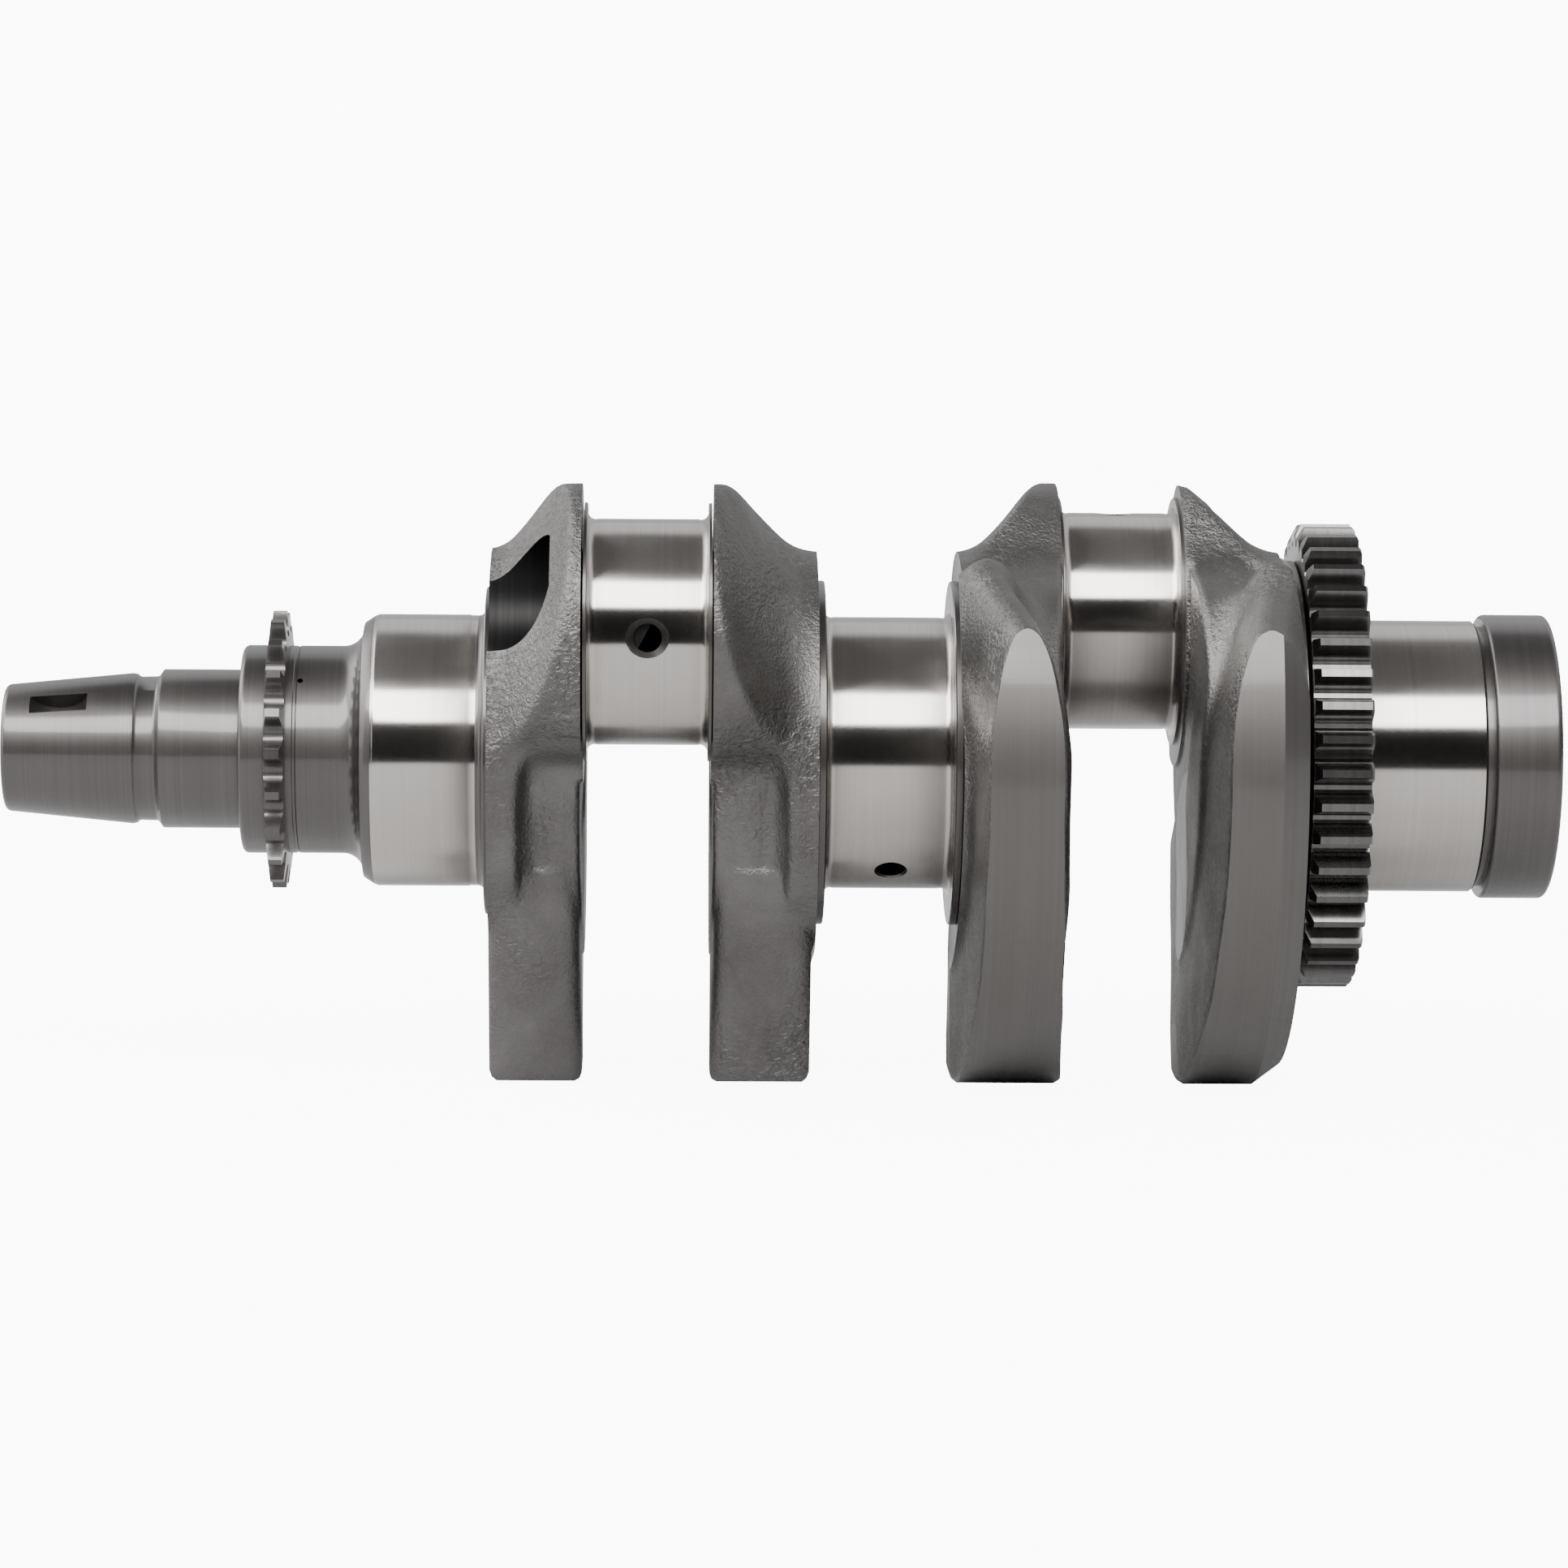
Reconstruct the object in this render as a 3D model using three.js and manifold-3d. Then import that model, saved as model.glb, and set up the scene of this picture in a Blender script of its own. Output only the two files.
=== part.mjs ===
// Crankshaft of a parallel-twin engine, with its two crankpins a quarter turn apart.
//
// Units are millimetres. X runs along the shaft, from the tapered nose (-X) to the rear
// flange (+X). Z is up, and the shaft lies on the rims of its counterweights at Z = 0.
// Angles about the shaft are in degrees, from +Y towards +Z.

import * as THREE from 'three';
import { mergeVertices } from 'three/addons/utils/BufferGeometryUtils.js';
import Module from 'manifold-3d';

const wasm = await Module();
wasm.setup();

// ---------------------------------------------------------------- driving dimensions

const THROW = 37.5; // half of the 75 mm stroke
const PIN_ANGLES = { front: 135, rear: 45 };
const RIM_RADIUS = 69; // machined rims of the counterweights, on which the shaft lies
const FIT_GAP = 0.3; // clearance drawn between solids that touch on a round face
const SHAFT_SIDES = 48;
const RIM_SIDES = 96;

// Where each section of the shaft starts and ends along X.
const AT = {
  noseEnd: -160.9,
  taperEnd: -133.4,
  sealJournalEnd: -111.6,
  sprocketFront: -105.9,
  sprocketRear: -101.5,
  neckEnd: -86.1,
  frontMainEnd: -60.7,
  frontCollarEnd: -58.4,
  web1Inner: -40,
  web2Inner: -14,
  web2Outer: 8,
  centreMainFront: 9.7,
  centreMainRear: 35.9,
  web3Outer: 37.6,
  web3Inner: 59.7,
  web4Inner: 85.4,
  web4Outer: 104.8,
  gearShoulderEnd: 107.7,
  gearSeatEnd: 119.8,
  rearMainEnd: 147.1,
  flangeEnd: 160.9,
};

const NOSE = { endRadius: 13.1, taperRatio: 1 / 5, chamfer: 1.2, undercutRadius: 15.2, sealRadius: 16.6 };
const NOSE_BORE = { radius: 5.1, depth: 24, countersinkRadius: 7 };
const KEYSEAT = { centreX: -149.3, cutterRadius: 6.5, width: 4.5, depth: 4 };
const SEAL_STEP = { start: 4.4, end: 5.3 }; // from the undercut up to the seal's radius
const NECK = { radius: 21.7, filletRadius: 3.4, shoulderChamfer: { width: 0.8, depth: 1.2 } };
const CHAIN_OILER = { x: -98.7, radius: 0.6, depth: 7 };
const MAIN = { radius: 28.4, fillet: 1.6, leadIn: { width: 2.4, depth: 1.7 } };
const REAR_GROOVE = { width: 1.5, depth: 0.7 };
const PIN = { radius: 23.1, fillet: 1.6, collarRadius: 26.4, collarWidth: 0.7 };
const COLLAR_RADIUS = { front: 34.3, centre: 36, gear: 40.8 };
const FLANGE = { radius: 29.75, chamfer: 1 };
const FLANGE_BOLTS = { count: 6, circleRadius: 20, radius: 4, depth: 12 };
const FLANGE_RECESS = { radius: 12.5, depth: 4 };

const CHEEK = { hubRadius: 41.4, lobeRadius: 29.5 };

// Counterweights: a fan about the shaft, measured from straight down, and an arched upper end
// whose top is off centre by `archShift`. Each has its own stretch of X.
const COUNTERWEIGHT = { startAngle: -10, endAngle: 115, archTop: 26, archBase: -4, archShoulder: 20 };
const COUNTERWEIGHT_SPAN = {
  web1: { from: -59.6, to: -40.4, archShift: 2 },
  web2: { from: -13.7, to: 7.1, archShift: -2 },
  web3: { from: 36.5, to: 59.5, archShift: 2 },
  web4: { from: 84.1, to: 104.8, archShift: -2 },
};
const RIM_BEVEL = { width: 5.4, depth: 4 };
const BALANCE_POCKET = { radius: 11.9, centreRadius: 47.8, depth: 12.5 };

const OIL = { radius: 2.9, mouthRadius: 4.4, mouthDepth: 1.6, crossX: 23.5, crossAngle: 235 };

// Roller-chain sprocket for the cam drive, 8 mm pitch.
const SPROCKET = {
  teeth: 21,
  pitch: 8,
  rollerRadius: 2.55,
  tipRadius: 29,
  tipWidth: 2.8,
  halfGap: 0.41, // of a tooth space at the tips, in pitches
  hubDrop: 0.4, // of the flat sides below the roots
};

// Spur gear that drives the balancer shaft.
const GEAR = {
  teeth: 44,
  module: 2.11,
  front: 108,
  seatRadius: 31,
  frontChamfer: { width: 1.3, depth: 2.6 },
  rearChamfer: 0.4,
  halfTooth: { root: 0.36, pitch: 0.25, tip: 0.08 }, // half widths, in pitches
};

// ---------------------------------------------------------------- solids

const radians = THREE.MathUtils.degToRad;

/** The point at an angle about the shaft, at a radius from its axis. */
function polar(angle, radius) {
  return new THREE.Vector2(radius * Math.cos(radians(angle)), radius * Math.sin(radians(angle)));
}

/** A closed three.js geometry as a manifold solid with its faces pointing out. */
function toSolid(geometry) {
  const bare = geometry.index ? geometry.toNonIndexed() : geometry;
  bare.deleteAttribute('normal');
  bare.deleteAttribute('uv');
  const merged = mergeVertices(bare, 1e-4);
  const position = merged.attributes.position;
  const corner = [0, 1, 2].map(() => new THREE.Vector3());
  const triangles = [];
  let volume = 0;
  for (let i = 0; i < merged.index.count; i += 3) {
    const [a, b, c] = [0, 1, 2].map((k) => merged.index.getX(i + k));
    if (a === b || b === c || c === a) continue;
    [a, b, c].forEach((vertex, k) => corner[k].fromBufferAttribute(position, vertex));
    volume += corner[0].dot(corner[1].clone().cross(corner[2]));
    triangles.push([a, b, c]);
  }
  const ordered = volume > 0 ? triangles : triangles.map(([a, b, c]) => [a, c, b]);
  return new wasm.Manifold(new wasm.Mesh({
    numProp: 3,
    vertProperties: new Float32Array(position.array),
    triVerts: new Uint32Array(ordered.flat()),
  }));
}

/** A manifold solid as a geometry with flat facets. */
function toGeometry(solid) {
  const mesh = solid.getMesh();
  const geometry = new THREE.BufferGeometry();
  geometry.setAttribute('position', new THREE.BufferAttribute(mesh.vertProperties, mesh.numProp));
  geometry.setIndex(new THREE.BufferAttribute(mesh.triVerts, 1));
  const faceted = geometry.toNonIndexed();
  faceted.computeVertexNormals();
  return faceted;
}

/** A solid turned about the shaft axis from [x, radius] pairs. */
function turned(profile, sides = SHAFT_SIDES) {
  const first = profile[0][0];
  const last = profile[profile.length - 1][0];
  const closed = [[first, 0], ...profile, [last, 0]];
  const points = closed.map(([x, radius]) => new THREE.Vector2(radius, x));
  return toSolid(new THREE.LatheGeometry(points, sides).rotateZ(-Math.PI / 2));
}

/** An outline across the shaft, in Y and Z, drawn out along X. */
function acrossShaft(outline, from, to) {
  const geometry = new THREE.ExtrudeGeometry(new THREE.Shape(outline), {
    depth: to - from,
    bevelEnabled: false,
  });
  const yzx = new THREE.Matrix4().makeBasis(
    new THREE.Vector3(0, 1, 0),
    new THREE.Vector3(0, 0, 1),
    new THREE.Vector3(1, 0, 0),
  );
  return toSolid(geometry.applyMatrix4(yzx).translate(from, 0, 0));
}

/** An outline seen from the side, in X and Z, drawn out across the whole shaft. */
function throughSide(outline) {
  const geometry = new THREE.ExtrudeGeometry(new THREE.Shape(outline), {
    depth: 4 * RIM_RADIUS,
    bevelEnabled: false,
  });
  const xz = new THREE.Matrix4().makeBasis(
    new THREE.Vector3(1, 0, 0),
    new THREE.Vector3(0, 0, 1),
    new THREE.Vector3(0, -1, 0),
  );
  return toSolid(geometry.applyMatrix4(xz).translate(0, 2 * RIM_RADIUS, 0));
}

/** A round tool from one point to another, for drillings. */
function drill(start, end, startRadius, endRadius = startRadius, sides = 16) {
  const along = end.clone().sub(start);
  const geometry = new THREE.CylinderGeometry(endRadius, startRadius, along.length(), sides);
  const up = new THREE.Vector3(0, 1, 0);
  const turn = new THREE.Quaternion().setFromUnitVectors(up, along.clone().normalize());
  const middle = start.clone().add(end).multiplyScalar(0.5);
  return toSolid(geometry.applyQuaternion(turn).translate(middle.x, middle.y, middle.z));
}

/** A solid turned about a crankpin's axis instead of the shaft's. */
function turnedAboutPin(profile, pinAngle) {
  const centre = polar(pinAngle, THROW);
  const points = [[profile[0][0], 0], ...profile, [profile[profile.length - 1][0], 0]]
    .map(([x, radius]) => new THREE.Vector2(radius, x));
  const geometry = new THREE.LatheGeometry(points, SHAFT_SIDES).rotateZ(-Math.PI / 2);
  return toSolid(geometry.translate(0, centre.x, centre.y));
}

/** Points of a quarter-round fillet, from a shaft's radius up to a face. */
function fillet(x, radius, size, direction) {
  return [0, 1, 2, 3].map((step) => {
    const angle = radians(30 * step);
    return [x + direction * size * Math.sin(angle), radius + size * (1 - Math.cos(angle))];
  });
}

// ---------------------------------------------------------------- drillings

/** The countersunk mouth of an oil hole and the first stretch of its bore, as one tool. */
function oilMouth(mouth, outward, length) {
  const outside = mouth.clone().addScaledVector(outward, 2);
  const inside = mouth.clone().addScaledVector(outward, -length);
  const chamferEnd = mouth.clone().addScaledVector(outward, -OIL.mouthDepth);
  const bore = drill(outside, inside, OIL.radius);
  return bore.add(drill(outside, chamferEnd, OIL.mouthRadius + 2, OIL.radius));
}

const crossPoint = new THREE.Vector3(OIL.crossX, 0, 0);
const pinMiddle = {
  front: (AT.web1Inner + AT.web2Inner) / 2,
  rear: (AT.web3Inner + AT.web4Inner) / 2,
};

/** One pin's oil hole, and the long drilling from it to the centre main journal. */
function pinDrilling(which, outward) {
  const centre = polar(PIN_ANGLES[which], THROW);
  const mouth = new THREE.Vector3(pinMiddle[which], centre.x, centre.y)
    .addScaledVector(outward, PIN.radius);
  const knee = mouth.clone().addScaledVector(outward, -4);
  return oilMouth(mouth, outward, 6).add(drill(knee, crossPoint, OIL.radius));
}

const crossOutward = new THREE.Vector3(
  0,
  Math.cos(radians(OIL.crossAngle)),
  Math.sin(radians(OIL.crossAngle)),
);
const crossMouth = crossPoint.clone().addScaledVector(crossOutward, MAIN.radius);
const oilways = pinDrilling('front', new THREE.Vector3(0, -1, 0))
  .add(pinDrilling('rear', new THREE.Vector3(0, 0, 1)))
  .add(oilMouth(crossMouth, crossOutward, MAIN.radius + OIL.radius));

// ---------------------------------------------------------------- nose and front end

function noseTaper() {
  const taperRadius = (x) => NOSE.endRadius + ((x - AT.noseEnd) * NOSE.taperRatio) / 2;
  const body = turned([
    [AT.noseEnd, NOSE.endRadius - NOSE.chamfer],
    [AT.noseEnd + NOSE.chamfer, taperRadius(AT.noseEnd + NOSE.chamfer)],
    [AT.taperEnd, taperRadius(AT.taperEnd)],
  ]);
  const outward = polar(PIN_ANGLES.front, 1);
  const sideways = polar(PIN_ANGLES.front - 90, KEYSEAT.width / 2);
  const height = taperRadius(KEYSEAT.centreX) + KEYSEAT.cutterRadius - KEYSEAT.depth;
  const centre = new THREE.Vector3(KEYSEAT.centreX, outward.x * height, outward.y * height);
  const half = new THREE.Vector3(0, sideways.x, sideways.y);
  const keyCutter = drill(centre.clone().sub(half), centre.clone().add(half),
    KEYSEAT.cutterRadius, KEYSEAT.cutterRadius, 32);
  const face = new THREE.Vector3(AT.noseEnd - 1, 0, 0);
  const boreEnd = new THREE.Vector3(AT.noseEnd + NOSE_BORE.depth, 0, 0);
  const sinkEnd = new THREE.Vector3(AT.noseEnd + 2, 0, 0);
  return body
    .subtract(keyCutter)
    .subtract(drill(face, boreEnd, NOSE_BORE.radius))
    .subtract(drill(face, sinkEnd, NOSE_BORE.countersinkRadius, NOSE_BORE.radius));
}

function noseSealJournal() {
  return turned([
    [AT.taperEnd, NOSE.undercutRadius],
    [AT.taperEnd + SEAL_STEP.start, NOSE.undercutRadius],
    [AT.taperEnd + SEAL_STEP.end, NOSE.sealRadius],
    [AT.sealJournalEnd, NOSE.sealRadius],
  ]);
}

function sprocketShoulder() {
  return turned([
    [AT.sealJournalEnd, NECK.radius - NECK.shoulderChamfer.depth],
    [AT.sealJournalEnd + NECK.shoulderChamfer.width, NECK.radius],
    [AT.sprocketFront, NECK.radius],
  ]);
}

function timingSprocket() {
  const pitchAngle = 360 / SPROCKET.teeth;
  const pitchRadius = SPROCKET.pitch / 2 / Math.sin(radians(pitchAngle / 2));
  const halfGap = pitchAngle * SPROCKET.halfGap;
  const outline = [];
  for (let tooth = 0; tooth < SPROCKET.teeth; tooth += 1) {
    const valley = PIN_ANGLES.front + tooth * pitchAngle;
    outline.push(polar(valley - halfGap, SPROCKET.tipRadius));
    for (const turn of [68, 34, 0, -34, -68]) {
      const seat = polar(valley + 180 + turn, SPROCKET.rollerRadius);
      outline.push(polar(valley, pitchRadius).add(seat));
    }
    outline.push(polar(valley + halfGap, SPROCKET.tipRadius));
  }
  const middle = (AT.sprocketFront + AT.sprocketRear) / 2;
  const hubRadius = pitchRadius - SPROCKET.rollerRadius - SPROCKET.hubDrop;
  const overTips = SPROCKET.tipRadius + 0.1;
  const sides = turned([
    [AT.sprocketFront, hubRadius],
    [middle - SPROCKET.tipWidth / 2, overTips],
    [middle + SPROCKET.tipWidth / 2, overTips],
    [AT.sprocketRear, hubRadius],
  ], 2 * SPROCKET.teeth);
  return acrossShaft(outline, AT.sprocketFront - 1, AT.sprocketRear + 1).intersect(sides);
}

function frontNeck() {
  const outward = polar(PIN_ANGLES.front, 1);
  const at = (radius) => new THREE.Vector3(CHAIN_OILER.x, outward.x * radius, outward.y * radius);
  const oiler = drill(at(NECK.radius + 1), at(NECK.radius - CHAIN_OILER.depth), CHAIN_OILER.radius,
    CHAIN_OILER.radius, 8);
  return turned([
    [AT.sprocketRear, NECK.radius],
    ...fillet(AT.neckEnd - NECK.filletRadius, NECK.radius, NECK.filletRadius, 1),
  ]).subtract(oiler);
}

// ---------------------------------------------------------------- main journals and collars

function frontMainJournal() {
  return turned([
    [AT.neckEnd, MAIN.radius - MAIN.leadIn.depth],
    [AT.neckEnd + MAIN.leadIn.width, MAIN.radius],
    ...fillet(AT.frontMainEnd - MAIN.fillet, MAIN.radius, MAIN.fillet, 1),
  ]);
}

function centreMainJournal() {
  return turned([
    ...fillet(AT.centreMainFront + MAIN.fillet, MAIN.radius, MAIN.fillet, -1).reverse(),
    ...fillet(AT.centreMainRear - MAIN.fillet, MAIN.radius, MAIN.fillet, 1),
  ]).subtract(oilways);
}

function rearMainJournal() {
  const grooveFront = AT.rearMainEnd - REAR_GROOVE.width;
  const grooveRadius = MAIN.radius - REAR_GROOVE.depth;
  return turned([
    [AT.gearSeatEnd, MAIN.radius],
    [grooveFront, MAIN.radius],
    [grooveFront, grooveRadius],
    [AT.rearMainEnd, grooveRadius],
  ]);
}

function collar(from, to, radius) {
  return turned([[from, radius], [to, radius]]);
}

function crankpin(which, from, to) {
  const left = from + PIN.collarWidth;
  const right = to - PIN.collarWidth;
  return turnedAboutPin([
    [from, PIN.collarRadius],
    [left, PIN.collarRadius],
    ...fillet(left + PIN.fillet, PIN.radius, PIN.fillet, -1).reverse(),
    ...fillet(right - PIN.fillet, PIN.radius, PIN.fillet, 1),
    [right, PIN.collarRadius],
    [to, PIN.collarRadius],
  ], PIN_ANGLES[which]).subtract(oilways);
}

// ---------------------------------------------------------------- webs

// The height of a web's bevelled shoulder above the shaft axis, by distance from its outer
// face: a hub-sized circle at the face, swelling to the full pin lobe.
const SHOULDER = new THREE.SplineCurve([
  new THREE.Vector2(0, 41.6),
  new THREE.Vector2(5, 46.2),
  new THREE.Vector2(9.4, 51.4),
  new THREE.Vector2(13.4, 61.5),
  new THREE.Vector2(16.6, 67.1),
]).getPoints(10);

/** Both circles of a web, the hub's and the pin lobe's, joined by tangents. */
function cheekOutline(pinAngle) {
  const spread = THREE.MathUtils.radToDeg(Math.acos((CHEEK.hubRadius - CHEEK.lobeRadius) / THROW));
  const outline = [];
  for (let step = 0; step <= 12; step += 1) {
    const angle = pinAngle - spread + (step * 2 * spread) / 12;
    outline.push(polar(pinAngle, THROW).add(polar(angle, CHEEK.lobeRadius)));
  }
  for (let step = 0; step <= 20; step += 1) {
    const angle = pinAngle + spread + (step * (360 - 2 * spread)) / 20;
    outline.push(polar(angle, CHEEK.hubRadius));
  }
  return outline;
}

/** One web without its counterweight. The pin side of the web faces `inner`. */
function cheek(which, outer, inner) {
  const inward = Math.sign(inner - outer);
  const profile = SHOULDER.map((point) => [outer + inward * point.x, point.y]);
  profile.push([inner, RIM_RADIUS]);
  const shoulder = turned(inward > 0 ? profile : profile.reverse());
  const from = Math.min(outer, inner) - 1;
  const to = Math.max(outer, inner) + 1;
  return acrossShaft(cheekOutline(PIN_ANGLES[which]), from, to)
    .intersect(shoulder)
    .subtract(oilways);
}

function balancePocket() {
  const centre = polar(PIN_ANGLES.front, BALANCE_POCKET.centreRadius);
  const start = new THREE.Vector3(AT.frontCollarEnd - 2, centre.x, centre.y);
  const end = new THREE.Vector3(AT.frontCollarEnd + BALANCE_POCKET.depth, centre.x, centre.y);
  return drill(start, end, BALANCE_POCKET.radius, BALANCE_POCKET.radius, 32);
}

/** A counterweight: a fan beside the hub, narrowing to an arch at its upper end. */
function counterweight(which, { from, to, archShift }) {
  const side = which === 'front' ? 1 : -1;
  const inner = CHEEK.hubRadius + FIT_GAP;
  const step = 360 / RIM_SIDES;
  const fan = [];
  const angles = [COUNTERWEIGHT.startAngle];
  for (let k = Math.ceil(COUNTERWEIGHT.startAngle / step); k * step < COUNTERWEIGHT.endAngle; k += 1) {
    angles.push(k * step);
  }
  angles.push(COUNTERWEIGHT.endAngle);
  const about = (angle, radius) => {
    const point = polar(angle - 90, radius);
    return new THREE.Vector2(side * point.x, point.y);
  };
  angles.forEach((angle) => fan.push(about(angle, RIM_RADIUS)));
  angles.reverse().forEach((angle) => fan.push(about(angle, inner)));
  const middle = (from + to) / 2 + archShift;
  const arch = [
    new THREE.Vector2(from, -RIM_RADIUS - 1),
    new THREE.Vector2(to, -RIM_RADIUS - 1),
    ...new THREE.QuadraticBezierCurve(
      new THREE.Vector2(to, COUNTERWEIGHT.archBase),
      new THREE.Vector2(to - 1, COUNTERWEIGHT.archShoulder),
      new THREE.Vector2(middle, COUNTERWEIGHT.archTop),
    ).getPoints(5),
    ...new THREE.QuadraticBezierCurve(
      new THREE.Vector2(middle - 1, COUNTERWEIGHT.archTop),
      new THREE.Vector2(from + 1, COUNTERWEIGHT.archShoulder),
      new THREE.Vector2(from, COUNTERWEIGHT.archBase),
    ).getPoints(5),
  ];
  return acrossShaft(fan, from, to).intersect(throughSide(arch));
}

/** The turned shape that bevels web 4's rim, for clearance to the gear. */
function rimBevel({ from, to }) {
  return turned([
    [from - 1, RIM_RADIUS + 1],
    [to - RIM_BEVEL.width, RIM_RADIUS + 1],
    [to - RIM_BEVEL.width, RIM_RADIUS],
    [to, RIM_RADIUS - RIM_BEVEL.depth],
    [to + 1, RIM_RADIUS - RIM_BEVEL.depth],
  ], RIM_SIDES);
}

// ---------------------------------------------------------------- gear and rear end

function gearSeat() {
  return turned([
    [AT.gearShoulderEnd, GEAR.seatRadius],
    [AT.gearSeatEnd, GEAR.seatRadius],
  ]);
}

function driveGear() {
  const pitchAngle = 360 / GEAR.teeth;
  const pitchRadius = (GEAR.module * GEAR.teeth) / 2;
  const tipRadius = pitchRadius + GEAR.module;
  const rootRadius = pitchRadius - 1.25 * GEAR.module;
  const outline = [];
  for (let tooth = 0; tooth < GEAR.teeth; tooth += 1) {
    const middle = 180 + tooth * pitchAngle;
    outline.push(polar(middle - pitchAngle * GEAR.halfTooth.root, rootRadius));
    outline.push(polar(middle - pitchAngle * GEAR.halfTooth.pitch, pitchRadius));
    outline.push(polar(middle - pitchAngle * GEAR.halfTooth.tip, tipRadius));
    outline.push(polar(middle + pitchAngle * GEAR.halfTooth.tip, tipRadius));
    outline.push(polar(middle + pitchAngle * GEAR.halfTooth.pitch, pitchRadius));
    outline.push(polar(middle + pitchAngle * GEAR.halfTooth.root, rootRadius));
  }
  const overTips = tipRadius + 0.1;
  const ends = turned([
    [GEAR.front, tipRadius - GEAR.frontChamfer.depth],
    [GEAR.front + GEAR.frontChamfer.width, overTips],
    [AT.gearSeatEnd - GEAR.rearChamfer, overTips],
    [AT.gearSeatEnd, tipRadius - GEAR.rearChamfer],
  ], GEAR.teeth);
  const bore = turned([
    [GEAR.front - 1, GEAR.seatRadius + FIT_GAP],
    [AT.gearSeatEnd + 1, GEAR.seatRadius + FIT_GAP],
  ]);
  return acrossShaft(outline, GEAR.front - 1, AT.gearSeatEnd + 1).intersect(ends).subtract(bore);
}

function rearFlange() {
  const body = turned([
    [AT.rearMainEnd, FLANGE.radius],
    [AT.flangeEnd - FLANGE.chamfer, FLANGE.radius],
    [AT.flangeEnd, FLANGE.radius - FLANGE.chamfer],
  ]);
  const outside = AT.flangeEnd + 1;
  const recess = drill(
    new THREE.Vector3(outside, 0, 0),
    new THREE.Vector3(AT.flangeEnd - FLANGE_RECESS.depth, 0, 0),
    FLANGE_RECESS.radius,
    FLANGE_RECESS.radius,
    32,
  );
  let flange = body.subtract(recess);
  for (let bolt = 0; bolt < FLANGE_BOLTS.count; bolt += 1) {
    const centre = polar(90 + (bolt * 360) / FLANGE_BOLTS.count, FLANGE_BOLTS.circleRadius);
    flange = flange.subtract(drill(
      new THREE.Vector3(outside, centre.x, centre.y),
      new THREE.Vector3(AT.flangeEnd - FLANGE_BOLTS.depth, centre.x, centre.y),
      FLANGE_BOLTS.radius,
    ));
  }
  return flange;
}

// ---------------------------------------------------------------- assembly

const steel = {
  forged: { color: 0x6b6661, roughness: 0.62, metalness: 0.85 },
  turned: { color: 0x8a8581, roughness: 0.38, metalness: 0.95 },
  ground: { color: 0xbab4ae, roughness: 0.12, metalness: 1 },
  gear: { color: 0x7d7a76, roughness: 0.3, metalness: 0.95 },
};

const crankshaft = new THREE.Group();
const shaftAxis = new THREE.Group();
shaftAxis.position.z = RIM_RADIUS;
crankshaft.add(shaftAxis);

function add(name, solid, finish) {
  const mesh = new THREE.Mesh(toGeometry(solid), new THREE.MeshStandardMaterial(steel[finish]));
  mesh.name = name;
  shaftAxis.add(mesh);
}

add('nose_taper', noseTaper(), 'turned');
add('nose_seal_journal', noseSealJournal(), 'turned');
add('sprocket_shoulder', sprocketShoulder(), 'turned');
add('timing_sprocket', timingSprocket(), 'turned');
add('front_neck', frontNeck(), 'turned');
add('front_main_journal', frontMainJournal(), 'ground');
add('front_thrust_collar', collar(AT.frontMainEnd, AT.frontCollarEnd, COLLAR_RADIUS.front), 'turned');
add('web_1_cheek', cheek('front', AT.frontCollarEnd, AT.web1Inner).subtract(balancePocket()), 'forged');
add('web_1_counterweight', counterweight('front', COUNTERWEIGHT_SPAN.web1), 'forged');
add('crankpin_1', crankpin('front', AT.web1Inner, AT.web2Inner), 'ground');
add('web_2_cheek', cheek('front', AT.web2Outer, AT.web2Inner), 'forged');
add('web_2_counterweight', counterweight('front', COUNTERWEIGHT_SPAN.web2), 'forged');
add('centre_collar_front', collar(AT.web2Outer, AT.centreMainFront, COLLAR_RADIUS.centre)
  .subtract(oilways), 'turned');
add('centre_main_journal', centreMainJournal(), 'ground');
add('centre_collar_rear', collar(AT.centreMainRear, AT.web3Outer, COLLAR_RADIUS.centre)
  .subtract(oilways), 'turned');
add('web_3_cheek', cheek('rear', AT.web3Outer, AT.web3Inner), 'forged');
add('web_3_counterweight', counterweight('rear', COUNTERWEIGHT_SPAN.web3), 'forged');
add('crankpin_2', crankpin('rear', AT.web3Inner, AT.web4Inner), 'ground');
add('web_4_cheek', cheek('rear', AT.web4Outer, AT.web4Inner), 'forged');
add('web_4_counterweight', counterweight('rear', COUNTERWEIGHT_SPAN.web4)
  .intersect(rimBevel(COUNTERWEIGHT_SPAN.web4)), 'forged');
add('gear_shoulder', collar(AT.web4Outer, AT.gearShoulderEnd, COLLAR_RADIUS.gear), 'turned');
add('gear_seat', gearSeat(), 'turned');
add('balancer_drive_gear', driveGear(), 'gear');
add('rear_main_journal', rearMainJournal(), 'ground');
add('rear_flange', rearFlange(), 'turned');

export default crankshaft;
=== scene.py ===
"""The looks of a parallel-twin crankshaft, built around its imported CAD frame.

Blender works in metres. Shapes here are written in millimetres about the shaft axis, in the
CAD's directions: X along the shaft, -Y towards the camera, Z up. `make_piece` brings them into
the frame, whose Z starts at the floor. Angles about the shaft are in degrees, from +Y towards +Z.
"""

import math

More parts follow.
